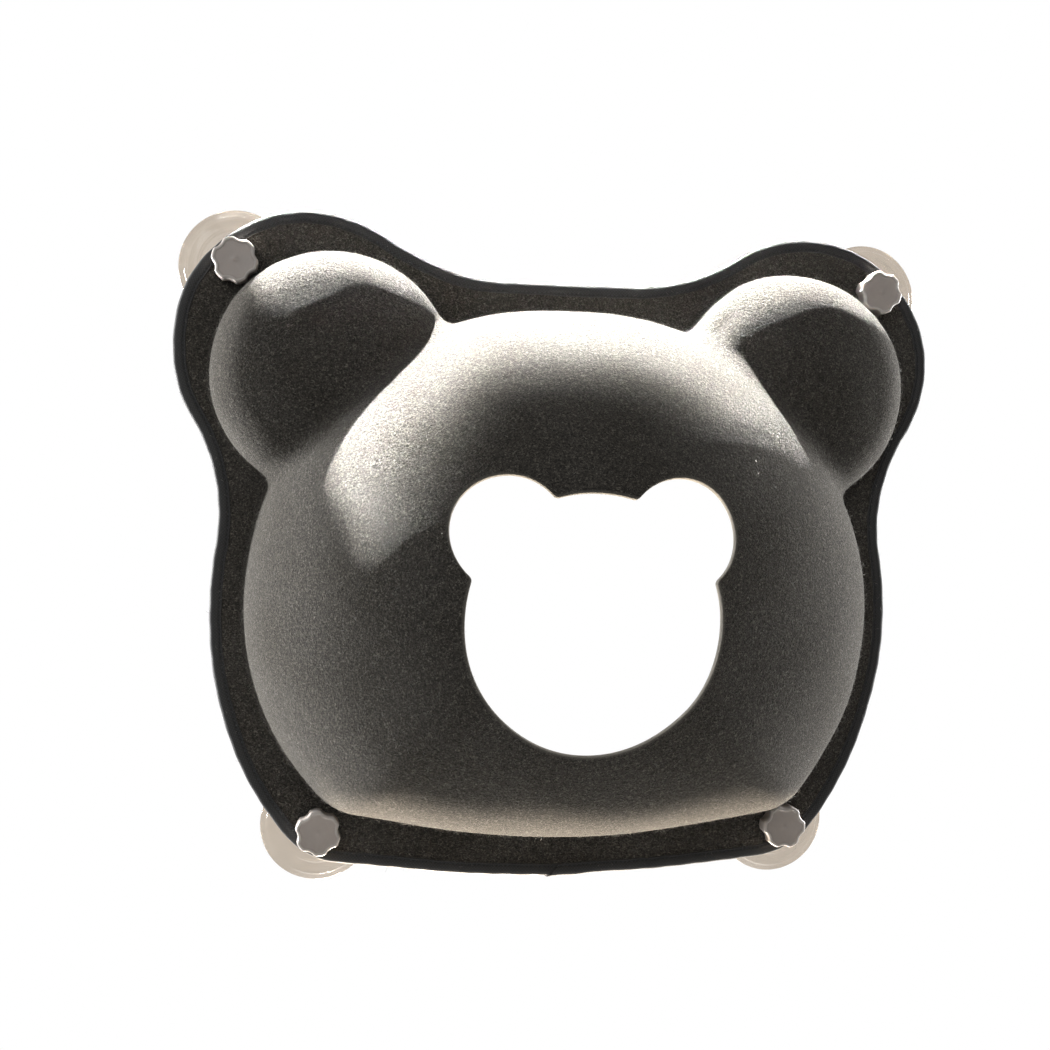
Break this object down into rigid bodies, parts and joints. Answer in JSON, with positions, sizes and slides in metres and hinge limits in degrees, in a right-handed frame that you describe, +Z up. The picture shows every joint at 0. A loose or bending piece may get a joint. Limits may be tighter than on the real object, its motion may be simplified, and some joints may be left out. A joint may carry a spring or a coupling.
{
  "type": "window mounted cat perch",
  "caption": "Felt cat hideaway in the outline of a bear's head, with a bear-shaped doorway, held against a window pane by suction cups and lobed knobs.",
  "frame": {"origin": "on the window pane, at the middle of the four suction cups", "axes": "+X to the right and +Z up as seen from the room, +Y out through the pane; the perch stands off the pane towards -Y"},
  "size_m": [0.56, 0.1473, 0.4818],
  "materials": {
    "felt": "moulded wool-blend felt, heather grey, slightly fuzzy",
    "binding_tape": "dark grey bias tape, fine weave, satin",
    "thread": "dark twisted sewing thread",
    "clear_cup": "clear soft PVC, gloss",
    "stud_plastic": "moulded natural nylon",
    "eyelet_metal": "nickel-plated, pressed",
    "washer_plastic": "clear moulded plastic, satin",
    "knob_plastic": "frosted white moulded plastic, soft gloss on the rim"
  },
  "bodies": {
    "shell_on_cups": {"felt_shell": "felt", "edge_binding": "binding_tape", "binding_thread": "thread", "suction_cup_top_left": "clear_cup", "stud_top_left": "stud_plastic", "eyelet_top_left": "eyelet_metal", "eyelet_ring_top_left": "eyelet_metal", "suction_cup_top_right": "clear_cup", "stud_top_right": "stud_plastic", "eyelet_top_right": "eyelet_metal", "eyelet_ring_top_right": "eyelet_metal", "suction_cup_bottom_left": "clear_cup", "stud_bottom_left": "stud_plastic", "eyelet_bottom_left": "eyelet_metal", "eyelet_ring_bottom_left": "eyelet_metal", "suction_cup_bottom_right": "clear_cup", "stud_bottom_right": "stud_plastic", "eyelet_bottom_right": "eyelet_metal", "eyelet_ring_bottom_right": "eyelet_metal"},
    "washer_top_left": {"washer_top_left": "washer_plastic"},
    "knob_top_left": {"knob_top_left": "knob_plastic"},
    "washer_top_right": {"washer_top_right": "washer_plastic"},
    "knob_top_right": {"knob_top_right": "knob_plastic"},
    "washer_bottom_left": {"washer_bottom_left": "washer_plastic"},
    "knob_bottom_left": {"knob_bottom_left": "knob_plastic"},
    "washer_bottom_right": {"washer_bottom_right": "washer_plastic"},
    "knob_bottom_right": {"knob_bottom_right": "knob_plastic"}
  },
  "joints": [
    {"name": "washer_travel_top_left", "type": "slide", "parent": "shell_on_cups", "child": "washer_top_left", "axis": [0, -1, 0], "range_m": [0, 0.007]},
    {"name": "knob_turn_top_left", "type": "hinge", "parent": "washer_top_left", "child": "knob_top_left", "pos_m": [-0.23701, -0.03, 0.1999], "axis": [0, -1, 0], "range_deg": [0, 1260]},
    {"name": "washer_travel_top_right", "type": "slide", "parent": "shell_on_cups", "child": "washer_top_right", "axis": [0, -1, 0], "range_m": [0, 0.007]},
    {"name": "knob_turn_top_right", "type": "hinge", "parent": "washer_top_right", "child": "knob_top_right", "pos_m": [0.23701, -0.03, 0.1999], "axis": [0, -1, 0], "range_deg": [0, 1260]},
    {"name": "washer_travel_bottom_left", "type": "slide", "parent": "shell_on_cups", "child": "washer_bottom_left", "axis": [0, -1, 0], "range_m": [0, 0.007]},
    {"name": "knob_turn_bottom_left", "type": "hinge", "parent": "washer_bottom_left", "child": "knob_bottom_left", "pos_m": [-0.1714, -0.03, -0.1999], "axis": [0, -1, 0], "range_deg": [0, 1260]},
    {"name": "washer_travel_bottom_right", "type": "slide", "parent": "shell_on_cups", "child": "washer_bottom_right", "axis": [0, -1, 0], "range_m": [0, 0.007]},
    {"name": "knob_turn_bottom_right", "type": "hinge", "parent": "washer_bottom_right", "child": "knob_bottom_right", "pos_m": [0.1714, -0.03, -0.1999], "axis": [0, -1, 0], "range_deg": [0, 1260]}
  ],
  "couplings": [
    {"joint": "washer_travel_top_left", "follows": "knob_turn_top_left", "m_per_rad": 0.0003183},
    {"joint": "washer_travel_top_right", "follows": "knob_turn_top_right", "m_per_rad": 0.0003183},
    {"joint": "washer_travel_bottom_left", "follows": "knob_turn_bottom_left", "m_per_rad": 0.0003183},
    {"joint": "washer_travel_bottom_right", "follows": "knob_turn_bottom_right", "m_per_rad": 0.0003183}
  ]
}
